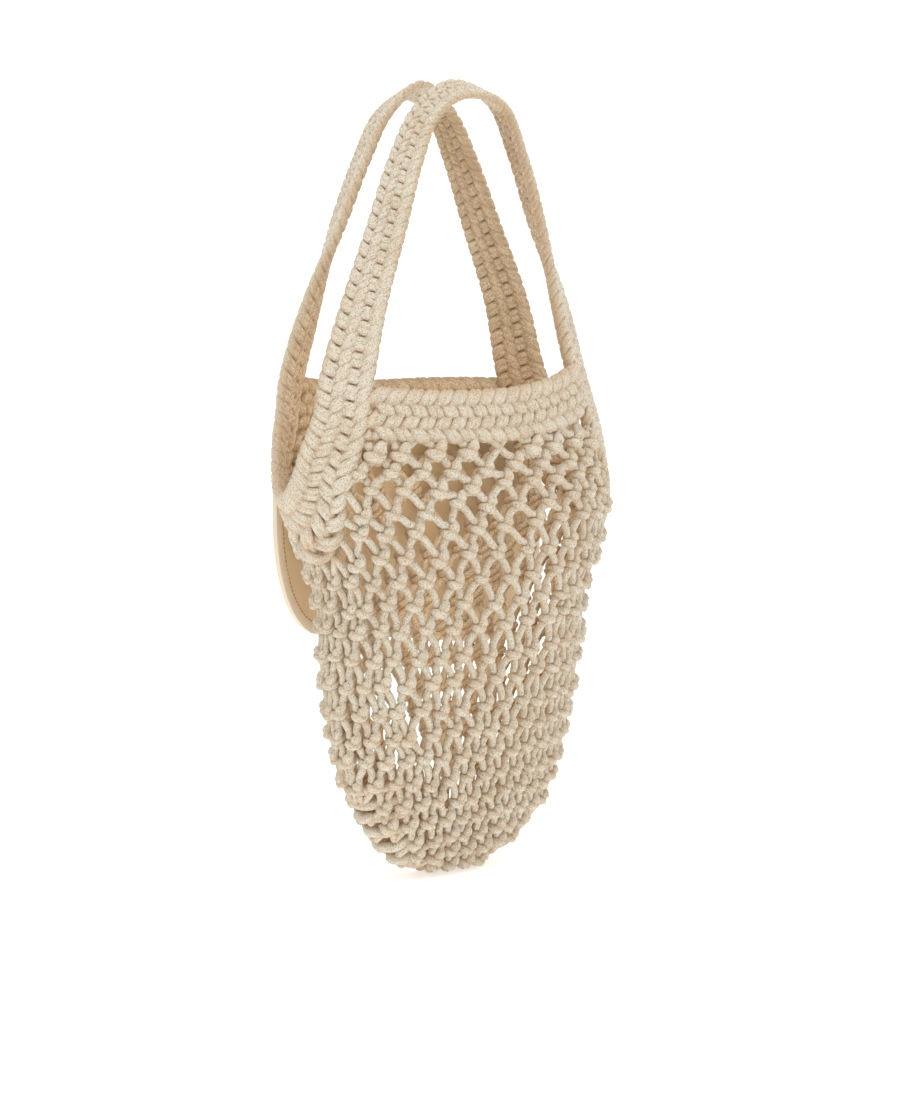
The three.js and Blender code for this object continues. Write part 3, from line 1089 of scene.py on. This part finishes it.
@dataclass
class KnottedNet:
    """The bag's net: slanting cords, hitched one round the other where they cross.

    Lengths are in millimetres. Each tie gives the places of a cord through a knot, as right, up,
    out and swell.
    """

    straps: Straps
    rims: RimBands
    columns: int = 32
    rows: tuple[float, ...] = (
        -212, -223, -233, -247, -260, -277, -292, -308, -323, -342,
        -358, -376, -393, -407, -423, -437, -451, -463, -474, -483,
    )
    spread: float = 0.34
    spread_low: float = -450.0
    spread_rise: float = 130.0
    rim_from: float = 43.0
    quarter_steps: int = 120
    least_pitch: float = 13.0
    cord: float = 2.45
    sway: Span = (0.014, 1.2)
    past_side: float = 0.3
    past_seam: float = -1.3
    knot_gap: float = 1.5
    knot_size: float = 0.96
    knot_range: Span = (0.94, 1.08)
    top_knot: float = 1.25
    lead_in: float = 6.6
    lead_out: float = 6.4
    first_lead: float = 10.0
    first_reach: float = 1.6
    first_steps: int = 33
    tuck: float = 2.0
    sunk: float = 1.0
    foot: float = 3.0
    sides: int = 8
    step: float = 1.9
    seed: int = 11
    # The next four fields set painted light: the gap at which painted shade falls where cords touch, the
    # painted shade on a cord's flanks, and the painted warm bounce light on sides that face into the bag.
    crease: float = 1.2
    flank_shade: float = 0.25
    inside_from: float = 0.05
    inside_rise: float = 1.3
    seam_from: float = -428.0
    seam_pitch: float = 10.0
    seam_reach: float = 0.85
    seam_lift: float = 5.0
    seam_cord: float = 3.4
    seam_sunk: float = 1.5
    seam_sway: float = 0.8
    seam_points: int = 9
    hem_cord: float = 3.4
    hem_ends: Span = (-31.0, 41.0)
    hem_points: int = 12
    hem_gap: float = 3.4
    hem_rise: float = 1.5
    hem_sway: Span = (0.6, 0.7)
    hem_range: Span = (0.9, 1.15)
    ties: ClassVar[dict[Lean, tuple[tuple[float, float, float, float], ...]]] = {
        Lean.RISING: (
            (3.2, 4.0, 1.0, 1.0), (2.1, 1.7, 2.8, 1.46), (0.4, -0.6, 1.6, 1.2),
            (-1.0, -2.6, 0.6, 1.0), (-1.9, -4.6, -0.4, 1.0),
        ),
        Lean.FALLING: (
            (-2.9, 3.4, 0.6, 1.0), (-1.4, 1.4, -0.8, 1.0), (1.4, 0.4, -2.6, 1.0), (3.4, -0.9, -0.8, 1.0),
            (2.7, -1.9, 1.8, 1.05), (0.0, -2.4, 3.8, 1.12), (-2.7, -2.0, 3.2, 1.12), (-3.7, -1.4, 0.4, 1.0),
            (-2.4, -2.0, -2.0, 0.95), (0.2, -3.0, -2.4, 0.95), (1.7, -4.6, -0.6, 1.0),
        ),
    }

    def top(self, angle: np.ndarray) -> np.ndarray:
        """Gives the height of the bands' lower edges at angles round the body.

        Args:
            angle: Angles round the body, from +X towards +Y.

        Returns:
            A height for each angle, in millimetres.
        """
        degrees = np.degrees(np.arccos(np.abs(np.cos(angle))))
        edge = np.array([(rib.net_angle, rib.net_z) for rib in reversed(self.straps.ribs)], float)
        on_strap = table_at(edge, degrees)[..., 0]
        return np.where(degrees < self.rim_from, on_strap, self.rims.edge(self.rims.low_z, angle))

    def place(self, column: np.ndarray, z: float) -> tuple[np.ndarray, np.ndarray]:
        """Finds columns round the body at a height.

        Args:
            column: Columns, counted to the right from the middle of the front.
            z: The height, in millimetres.

        Returns:
            The angle of each column, and how far it lies past the side seam, in millimetres.
        """
        quarter = self.columns / 4
        turned = (np.asarray(column, float) + quarter) % self.columns
        behind = turned >= 2 * quarter
        share = np.where(behind, turned - 3 * quarter, turned - quarter) / quarter
        wide, deep = FORM.sizes(np.array([z]))[0, :2]
        lean = np.linspace(0.0, math.pi / 2, self.quarter_steps)
        speed = np.hypot(wide * np.cos(lean), deep * np.sin(lean))
        lengths = np.r_[0, np.cumsum((speed[1:] + speed[:-1]) / 2 * np.diff(lean))]
        reach = max(lengths[-1], quarter * self.least_pitch)
        spread = self.spread * np.clip((z - self.spread_low) / self.spread_rise, 0.0, 1.0)
        run = reach * (share + spread / math.pi * np.sin(math.pi * share))
        turn = np.sign(run) * np.interp(np.abs(run), lengths, lean)
        return turn + np.where(behind, math.pi / 2, -math.pi / 2), np.abs(run) - lengths[-1]

    def lattice(self) -> dict[tuple[int, int], Knot]:
        """Places the knots, by row and twice the column.

        Returns:
            The knots below the bands, out to the side seams.
        """
        rng = np.random.default_rng(self.seed)
        knots = {}
        for row, z in enumerate(self.rows):
            column = np.arange(self.columns) + (row % 2) / 2
            angle, past = self.place(column, z)
            sway = rng.normal(0.0, 1.0, (self.columns, 2)) * self.sway
            angle = angle + sway[:, 0]
            height = z + sway[:, 1]
            level, rise, out = FORM.axes(angle, height)
            point = FORM.point(angle, height)
            top = self.top(angle)
            reach = (self.past_side if z > self.seam_from else self.past_seam) * self.least_pitch
            grown = self.knot_size * (1.0 if row else self.top_knot)
            for i in range(self.columns):
                if height[i] < top[i] - self.knot_gap and past[i] < reach:
                    size = grown * rng.uniform(*self.knot_range)
                    knot = Knot(point[i], level[i], rise[i], out[i], size)
                    knots[row, int(round(2 * column[i]))] = knot
        return knots

    def start_of(self, column: float, row: int, lean: Lean) -> np.ndarray:
        """Finds where a cord comes out of the band above its first knot.

        Args:
            column: The knot's column.
            row: The knot's row.
            lean: Which way the cord runs.

        Returns:
            The point, in metres.
        """
        above = self.rows[row - 1] if row else self.rows[0] + self.first_lead
        share = np.linspace(0.0, self.first_reach, self.first_steps)
        z = self.rows[row] + share * (above - self.rows[row])
        angle, _ = self.place(column - lean.value * share, self.rows[row])
        inside = np.flatnonzero(z >= self.top(angle) + self.tuck)
        i = inside[0] if len(inside) else len(share) - 1
        return FORM.point(angle[i], z[i], -self.sunk)

    def end_of(self, column: float, row: int, lean: Lean, knot: Knot) -> np.ndarray:
        """Finds where a cord is sewn in below its last knot: at the bottom or a side seam.

        Args:
            column: The knot's column.
            row: The knot's row.
            lean: Which way the cord runs.
            knot: The knot.

        Returns:
            The point, in metres.
        """
        if row + 1 == len(self.rows):
            _, _, _, shift_y = FORM.sizes(np.array([self.rows[row]]))[0]
            return np.array([knot.point[0], MM * shift_y, MM * (self.rows[-1] - self.foot)])
        angle, _ = self.place(np.array([column + lean.value]), self.rows[row + 1])
        return FORM.point(angle[0], self.rows[row + 1], -self.sunk)

    def through(self, knots: tuple[Knot, ...], start: np.ndarray, end: np.ndarray, lean: Lean
                ) -> tuple[np.ndarray, np.ndarray, np.ndarray]:
        """Routes a cord through its knots.

        Args:
            knots: The knots in order, top down.
            start: Where the cord comes from.
            end: Where it goes.
            lean: Which way it runs. Falling cords are hitched round the rising ones.

        Returns:
            The route's points, and the cord's radius and the net's outward direction at each.
        """
        stops = [start, *(knot.point for knot in knots), end]
        route = [(start, self.cord, knots[0].out)]
        for knot, before, after in zip(knots, stops, stops[2:]):
            into = square_to(knot.point - before, knot.out)
            away = square_to(after - knot.point, knot.out)
            axes = np.stack([knot.level, knot.rise, knot.out])
            route.append((knot.point - self.lead_in * MM * into, self.cord, knot.out))
            for *tie, swell in self.ties[lean]:
                place = knot.point + MM * knot.size * np.array(tie) @ axes
                route.append((place, self.cord * swell * knot.size, knot.out))
            route.append((knot.point + self.lead_out * MM * away, self.cord, knot.out))
        route.append((end, self.cord, knots[-1].out))
        points, radii, outs = (np.array(values) for values in zip(*route))
        return points, MM * radii, outs

    def draw(self, mesh: CordMesh, points: np.ndarray, radii: np.ndarray, outs: np.ndarray) -> None:
        """Adds a round cord along a route, with painted shade on its flanks and painted warm bounce light
        on the sides that face into the bag.

        Args:
            mesh: The mesh that takes the cord.
            points: The route's points.
            radii: The cord's radius at each point, in metres.
            outs: The net's outward direction at each point.
        """
        gaps = np.linalg.norm(np.diff(points, axis=0), axis=1)
        at = np.concatenate([
            i + np.arange(n) / n
            for i, n in enumerate(np.maximum(np.round(gaps / (MM * self.step)), 1).astype(int))
        ] + [[len(points) - 1.0]])
        line = spline(points, at)
        radius = np.interp(at, np.arange(len(points)), radii)
        across, out = carried_frames(line, outs[0])
        turn = np.arange(mesh.sides) * TURN / mesh.sides
        faces = unit(read_rows(outs, at))
        # Painted light: sides that face into the bag take painted warm bounce light, and each cord's flanks
        # take painted shade.
        outward = np.outer(np.sum(across * faces, axis=1), np.cos(turn))
        outward += np.outer(np.sum(out * faces, axis=1), np.sin(turn))
        inside = np.clip(self.inside_from - self.inside_rise * outward, 0.0, 1.0)
        mesh.add(line, across, out, radius, radius, painted_shade=self.flank_shade * (1.0 - outward**2), inside=inside)

    def cords(self, knots: dict[tuple[int, int], Knot], lean: Lean) -> CordMesh:
        """Draws all the cords that run one way.

        Args:
            knots: The knots, by row and twice the column.
            lean: Which way the cords run.

        Returns:
            The cords' mesh.
        """
        mesh = CordMesh(self.sides)
        for k in range(self.columns):
            column = [k + lean.value * row for row in range(len(self.rows))]
            found = [knots.get((row, int(round(2 * (c % self.columns))))) for row, c in enumerate(column)]
            for met, stretch in itertools.groupby(enumerate(found), lambda pair: pair[1] is not None):
                if met:
                    rows, tied = zip(*stretch)
                    start = self.start_of(column[rows[0]], rows[0], lean)
                    end = self.end_of(column[rows[-1]], rows[-1], lean, tied[-1])
                    self.draw(mesh, *self.through(tied, start, end, lean))
        return mesh

    def seams(self) -> CordMesh:
        """Draws the level loops round the sides near the bottom, and the hem along the bottom.

        Returns:
            Their mesh.
        """
        mesh = CordMesh(self.sides)
        rng = np.random.default_rng(self.seed)
        turn = np.linspace(-self.seam_reach, self.seam_reach, self.seam_points)
        for z in np.arange(self.seam_from, self.rows[-1], -self.seam_pitch):
            for side_angle in (0.0, math.pi):
                lift = self.seam_lift * np.abs(turn / self.seam_reach) ** 3
                lift += rng.normal(0.0, self.seam_sway, len(turn))
                points = FORM.point(side_angle + turn, z + lift, -self.seam_sunk)
                outs = FORM.level_normal(side_angle + turn, z + lift)
                self.draw(mesh, points, np.full(len(turn), MM * self.seam_cord), outs)
        x = np.linspace(*self.hem_ends, self.hem_points)
        shift_y = FORM.sizes(np.array([self.rows[-1]]))[0, 3]
        for face in Face:
            y = shift_y + self.hem_gap * face.value + rng.normal(0.0, self.hem_sway[0], len(x))
            z = self.rows[-1] + self.hem_rise + rng.normal(0.0, self.hem_sway[1], len(x))
            outs = np.tile([0.0, float(face.value), 0.0], (len(x), 1))
            radii = MM * self.hem_cord * rng.uniform(*self.hem_range, len(x))
            self.draw(mesh, MM * np.stack([x, y, z], -1), radii, outs)
        return mesh

    def build(self, finish: bpy.types.Material) -> None:
        """Makes the net's cords.

        Args:
            finish: The cotton's material.
        """
        knots = self.lattice()
        meshes = {f"net_{lean.name.lower()}_cords": self.cords(knots, lean) for lean in Lean}
        meshes["net_seams"] = self.seams()
        paint_crease_shade(list(meshes.values()), MM * self.crease)
        for name, mesh in meshes.items():
            dress(mesh.build(name, finish), "net_body")


@dataclass(frozen=True)
class LeatherPanel:
    """The leather panel outside the back, with round lower corners and a stitched border.

    Lengths are in millimetres and angles in degrees.
    """

    centre_x: float = 13.0
    half_width: float = 109.0
    top_z: float = -203.0
    bottom_z: float = -348.0
    corner_width: float = 45.0
    corner_height: float = 72.0
    tilt: float = 0.14
    arc_half_width: float = 144.0
    arc_half_depth: float = 63.0
    arc_x: float = 7.0
    arc_y: float = -1.0
    wall: float = 3.0
    edge_round: float = 0.35
    bevel_steps: int = 3
    bevel_angle: float = 50.0
    smooth_angle: float = 40.0
    columns: int = 96
    rows: int = 64
    flat_steps: int = 400
    corner_steps: int = 60
    stitch_inset: float = 7.0
    stitch_pitch: float = 3.0
    stitch_length: float = 2.0
    first_stitch: float = 1.0
    probe: float = 10.0
    thread: float = 0.45
    thread_sides: int = 6
    thread_lifts: tuple[float, ...] = (-0.35, 0.3, 0.42, 0.3, -0.35)

    def lower(self, x: np.ndarray, inset: float = 0.0) -> np.ndarray:
        """Gives the height of the lower outline, or of a line inside it.

        Args:
            x: Places across the panel, from its middle.
            inset: How far inside the outline the line lies.

        Returns:
            A height for each place.
        """
        wide, tall = self.corner_width - inset, self.corner_height - inset
        in_corner = np.maximum(np.abs(x) - (self.half_width - self.corner_width), 0.0)
        drop = tall * (1.0 - np.sqrt(np.maximum(1.0 - (in_corner / wide) ** 2, 0.0)))
        return self.bottom_z + inset + drop - self.tilt * x

    def surface(self, x: np.ndarray, z: np.ndarray, offset: float) -> np.ndarray:
        """Gives points on the panel's curve, by the distance outside its inner face.

        Args:
            x: Places across the panel, from its middle.
            z: Heights.
            offset: How far outside the inner face.

        Returns:
            A point for each place, in metres.
        """
        centred = self.centre_x + x - self.arc_x
        ahead = np.sqrt(1.0 - (centred / (self.arc_half_width + offset)) ** 2)
        y = (self.arc_half_depth + offset) * ahead + self.arc_y
        return MM * np.stack([self.centre_x + x, y, z], -1)

    def from_edge(self, x: np.ndarray, z: np.ndarray) -> np.ndarray:
        """Gives each place's distance from the outline, in millimetres.

        Args:
            x: Places across the panel, from its middle.
            z: Heights.

        Returns:
            A distance for each place, 0 on the outline.
        """
        sides = self.half_width - np.abs(x)
        straight = self.half_width - self.corner_width
        aside, below = np.abs(x) - straight, self.bottom_z + self.corner_height - self.tilt * x - z
        in_corner = (aside > 0) & (below > 0)
        reach = np.hypot(aside / self.corner_width, below / self.corner_height)
        slope = np.hypot(aside / self.corner_width**2, below / self.corner_height**2)
        rounded = (1.0 - reach) * reach / np.maximum(slope, LEAST_GAP)
        nearest = np.minimum(np.minimum(sides, self.top_z - z), z - self.bottom_z + self.tilt * x)
        return np.maximum(np.where(in_corner, rounded, nearest), 0.0)

    def sheet(self, outside: bpy.types.Material, inside: bpy.types.Material) -> bpy.types.Object:
        """Makes the leather from a grid, bent to the panel's curve and given its wall.

        Args:
            outside: The outer face's material.
            inside: The inner face's material.

        Returns:
            The leather's object.
        """
        bpy.ops.object.select_all(action="DESELECT")
        bpy.ops.mesh.primitive_grid_add(x_subdivisions=self.columns, y_subdivisions=self.rows, size=2.0)
        piece = bpy.context.object
        piece.name = piece.data.name = "leather_panel_sheet"
        grid = np.empty(3 * len(piece.data.vertices))
        piece.data.vertices.foreach_get("co", grid)
        u, v = grid.reshape(-1, 3).T[:2]
        x = -self.half_width * np.sin(math.pi / 2 * u)
        share = (v + 1) / 2
        z = self.lower(x) * (1 - share) + self.top_z * share
        piece.data.vertices.foreach_set("co", self.surface(x, z, 0.0).ravel())
        border = piece.data.attributes.new("from_edge", "FLOAT", "POINT")
        border.data.foreach_set("value", MM * self.from_edge(x, z))
        piece.data.update()
        piece.data.materials.append(outside)
        piece.data.materials.append(inside)
        bpy.ops.object.modifier_add(type="SOLIDIFY")
        piece.modifiers[-1].thickness = MM * self.wall
        piece.modifiers[-1].offset = 1.0
        piece.modifiers[-1].material_offset = 1
        bpy.ops.object.modifier_apply(modifier=piece.modifiers[-1].name)
        bpy.ops.object.modifier_add(type="BEVEL")
        piece.modifiers[-1].width = self.edge_round * MM * self.wall
        piece.modifiers[-1].segments = self.bevel_steps
        piece.modifiers[-1].angle_limit = math.radians(self.bevel_angle)
        bpy.ops.object.modifier_apply(modifier=piece.modifiers[-1].name)
        bpy.ops.object.shade_smooth_by_angle(angle=math.radians(self.smooth_angle))
        return piece

    def stitch_line(self) -> np.ndarray:
        """Gives the border line inside the outline, from the top left round and back along the top.

        Returns:
            Places across the panel and heights, as rows.
        """
        inset, straight = self.stitch_inset, self.half_width - self.corner_width
        wide, tall = self.corner_width - inset, self.corner_height - inset
        turn = np.linspace(0, math.pi / 2, self.corner_steps)
        corner_z = self.bottom_z + self.corner_height
        left = np.stack([-straight - wide * np.cos(turn), corner_z - tall * np.sin(turn)], -1)
        right = left[::-1] * [-1, 1]
        ends = [[side * (self.half_width - inset), self.top_z - inset] for side in (-1, 1)]
        line = np.vstack([ends[0], left, right, ends[1], ends[0]])
        line[1:-2, 1] -= self.tilt * line[1:-2, 0]
        return line

    def stitching(self, finish: bpy.types.Material) -> bpy.types.Object:
        """Makes the stitches, each a short thread that dips into the leather at both ends.

        Args:
            finish: The thread's material.

        Returns:
            The stitches' object.
        """
        line = self.stitch_line()
        along = np.r_[0, np.cumsum(np.linalg.norm(np.diff(line, axis=0), axis=1))]
        mesh = CordMesh(self.thread_sides)
        starts = np.arange(self.first_stitch, along[-1] - self.stitch_length, self.stitch_pitch)
        for start, (face, sign) in itertools.product(starts, ((self.wall, 1.0), (0.0, -1.0))):
            at = start + np.linspace(0, self.stitch_length, len(self.thread_lifts))
            x, z = (np.interp(at, along, line[:, k]) for k in (0, 1))
            lifts = [face + sign * lift for lift in self.thread_lifts]
            points = np.array([self.surface(*place) for place in zip(x, z, lifts)])
            middle = x[2], z[2]
            out = unit(self.surface(*middle, self.probe) - self.surface(*middle, 0.0))
            across, up = carried_frames(points, out)
            mesh.add(points, across, up, MM * self.thread, MM * self.thread)
        return mesh.build("leather_panel_stitching", finish)

    def stretch(self) -> float:
        """Gives the panel's width along its curve over its width straight across.

        Returns:
            The ratio of the two.
        """
        x = np.linspace(-self.half_width, self.half_width, self.flat_steps)
        line = self.surface(x, np.zeros_like(x), self.wall / 2)
        return float(np.linalg.norm(np.diff(line, axis=0), axis=1).sum() / (2 * MM * self.half_width))

    def build(self) -> None:
        """Makes the panel and its stitching."""
        sheet = self.sheet(LEATHER.material(), LEATHER_INSIDE_PAINTED_LIGHT.material())
        dress(sheet, "leather_panel")
        stitching = dress(self.stitching(THREAD.material()), "leather_panel")


@dataclass(frozen=True)
class Studio:
    """A pale floor that sweeps up behind the bag, soft lights, and the camera.

    Lengths are in metres, but for the lens and its sensor, and angles in degrees.
    """

    azimuth: float = -40.0
    distance: float = 1.834
    height: float = -0.040
    pitch: float = 7.52
    turn: float = 0.2586
    lens: float = 94.25
    sensor: float = 36.0
    floor_size: float = 9.0
    floor_back: float = 3.6
    wall: float = 4.5
    sweep: float = 1.6
    sweep_steps: int = 14
    near: float = 0.01
    air: Colour = (1.0, 0.99, 0.975)
    air_strength: float = 0.54
    lamps: tuple[Lamp, ...] = (
        Lamp(-85.0, 45.0, 2.6, 1.8, 7.0),
        Lamp(-38.0, 12.0, 2.3, 1.2, 1.5),
        Lamp(-30.0, 72.0, 2.6, 1.8, 31.0, (0.94, 0.97, 1.0)),
        Lamp(45.0, 25.0, 2.6, 1.8, 6.0),
    )
    aim_z: float = -0.25
    glow_size: float = 0.02
    glow_colour: Colour = (1.0, 0.85, 0.58)
    glows: tuple[Glow, ...] = (
        Glow(-0.055, -0.01, -0.185, 0.022),
        Glow(0.035, 0.005, -0.185, 0.012),
        Glow(0.01, -0.012, -0.27, 0.020),
        Glow(0.01, -0.012, -0.34, 0.024),
        Glow(0.01, -0.006, -0.4, 0.012),
    )

    def camera(self) -> None:
        """Puts the camera at the photograph's place and makes it the scene's own."""
        turn = math.radians(self.azimuth)
        bpy.ops.object.camera_add(
            location=(self.distance * math.sin(turn), -self.distance * math.cos(turn), self.height),
            rotation=(math.radians(90 - self.pitch), 0.0, math.radians(self.azimuth - self.turn)),
        )
        camera = bpy.context.object
        camera.data.lens = self.lens
        camera.data.sensor_width = self.sensor
        bpy.context.scene.camera = camera

    def floor(self, level: float) -> None:
        """Makes the floor at a level, with its back edge drawn up into a backdrop.

        Args:
            level: The floor's height, in metres.
        """
        bpy.ops.object.select_all(action="DESELECT")
        bpy.ops.mesh.primitive_plane_add(size=self.floor_size)
        piece = bpy.context.object
        piece.name = "studio_floor"
        back = self.floor_size / 2
        bpy.ops.object.mode_set(mode="EDIT")
        bpy.ops.mesh.select_all(action="DESELECT")
        bpy.ops.object.mode_set(mode="OBJECT")
        for vertex in piece.data.vertices:
            vertex.select = vertex.co.y > back - self.near
        bpy.ops.object.mode_set(mode="EDIT")
        bpy.ops.mesh.select_mode(type="EDGE")
        bpy.ops.mesh.extrude_region_move(TRANSFORM_OT_translate={"value": (0.0, 0.0, self.wall)})
        bpy.ops.mesh.select_all(action="DESELECT")
        bpy.ops.object.mode_set(mode="OBJECT")
        for edge in piece.data.edges:
            ends = [piece.data.vertices[i].co for i in edge.vertices]
            edge.select = all(co.y > back - self.near and co.z < self.near for co in ends)
        bpy.ops.object.mode_set(mode="EDIT")
        bpy.ops.mesh.bevel(offset=self.sweep, segments=self.sweep_steps)
        bpy.ops.object.mode_set(mode="OBJECT")
        piece.rotation_euler.z = math.radians(self.azimuth)
        turn = math.radians(self.azimuth)
        ahead = self.floor_back - back
        piece.location = (-ahead * math.sin(turn), ahead * math.cos(turn), level)
        bpy.ops.object.transform_apply(location=True, rotation=True, scale=True)
        bpy.ops.object.shade_smooth()
        piece.data.materials.append(FLOOR.material())
        piece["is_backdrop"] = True

    def lights(self) -> None:
        """Puts up an even surround, soft lights round the camera and a faint warm glow in the bag."""
        world = bpy.data.worlds.new("studio_air")
        world.use_nodes = True
        air = world.node_tree.nodes["Background"]
        air.inputs["Color"].default_value = (*self.air, 1.0)
        air.inputs["Strength"].default_value = self.air_strength
        bpy.context.scene.world = world
        bpy.context.scene.view_settings.view_transform = "Standard"
        for lamp in self.lamps:
            a, e = math.radians(lamp.azimuth), math.radians(lamp.elevation)
            back = np.array([math.sin(a) * math.cos(e), -math.cos(a) * math.cos(e), math.sin(e)])
            bpy.ops.object.light_add(
                type="AREA",
                location=lamp.distance * back + [0.0, 0.0, self.aim_z],
                rotation=(math.radians(90) - e, 0.0, a),
            )
            light = bpy.context.object.data
            light.shape = "DISK"
            light.size = lamp.size
            light.energy = lamp.power
            light.color = lamp.colour
        for glow in self.glows:
            bpy.ops.object.light_add(type="POINT", location=glow[:3])
            bpy.context.object.visible_camera = False
            light = bpy.context.object.data
            light.shadow_soft_size = self.glow_size
            light.color = self.glow_colour
            light.energy = glow.power


def main() -> None:
    """Builds the camera, the bag's pieces and the studio, in that order."""
    logging.basicConfig(level=logging.INFO, format="%(name)s: %(message)s")
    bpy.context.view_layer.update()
    studio = Studio()
    studio.camera()
    cotton = COTTON.material()
    straps, rims = Straps(), RimBands()
    straps.build(cotton)
    rims.build(cotton)
    KnottedNet(straps, rims).build(cotton)
    LeatherPanel().build()
    looks_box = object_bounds()
    studio.floor(float(looks_box[0][2]))
    studio.lights()


if __name__ == "__main__":
    main()
